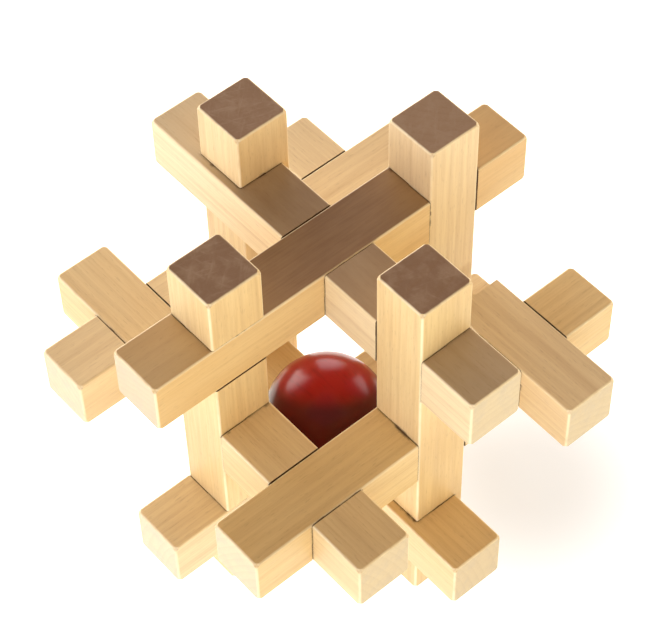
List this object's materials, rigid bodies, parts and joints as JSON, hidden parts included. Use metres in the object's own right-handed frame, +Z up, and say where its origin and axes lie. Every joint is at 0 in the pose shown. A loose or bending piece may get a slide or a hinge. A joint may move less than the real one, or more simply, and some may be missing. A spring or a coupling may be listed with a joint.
{
  "type": "wooden burr puzzle",
  "caption": "Wooden cage puzzle of notched square sticks that interlock at right angles, with a red lacquered ball held loose inside.",
  "frame": {"origin": "on the surface the puzzle stands on, below the centre of the cage", "axes": "+Z up along the uprights, +X to the right along the rails, +Y to the back along the beams"},
  "size_m": [0.09, 0.09, 0.09],
  "materials": {
    "upright_wood": "sanded pale hardwood, satin",
    "rail_wood": "sanded pale hardwood, satin",
    "beam_wood": "sanded pale hardwood, satin",
    "red_lacquer": "high-gloss deep red lacquer"
  },
  "bodies": {
    "cage": {"upright_right": "upright_wood", "rail_top": "rail_wood", "rail_front": "rail_wood", "rail_back": "rail_wood", "beam_top": "beam_wood", "beam_bottom": "beam_wood", "beam_left": "beam_wood", "beam_right": "beam_wood"},
    "upright_back": {"upright_back": "upright_wood"},
    "upright_front": {"upright_front": "upright_wood"},
    "upright_left": {"upright_left": "upright_wood"},
    "rail_bottom": {"rail_bottom": "rail_wood"},
    "ball": {"ball": "red_lacquer"}
  },
  "joints": [
    {"name": "back_upright_slide", "type": "slide", "parent": "cage", "child": "upright_back", "axis": [1, 0, 0], "range_m": [0, 0.0068]},
    {"name": "front_upright_slide", "type": "slide", "parent": "cage", "child": "upright_front", "axis": [-1, 0, 0], "range_m": [0, 0.0068]},
    {"name": "left_upright_slide", "type": "slide", "parent": "cage", "child": "upright_left", "axis": [0, 1, 0], "range_m": [-0.0018, 0.005]},
    {"name": "bottom_rail_slide", "type": "slide", "parent": "cage", "child": "rail_bottom", "axis": [0, -1, 0], "range_m": [-0.002, 0.0048]},
    {"name": "ball_roll", "type": "slide", "parent": "cage", "child": "ball", "axis": [-0.5774, 0.5774, 0.5774], "range_m": [0, 0.025]}
  ]
}
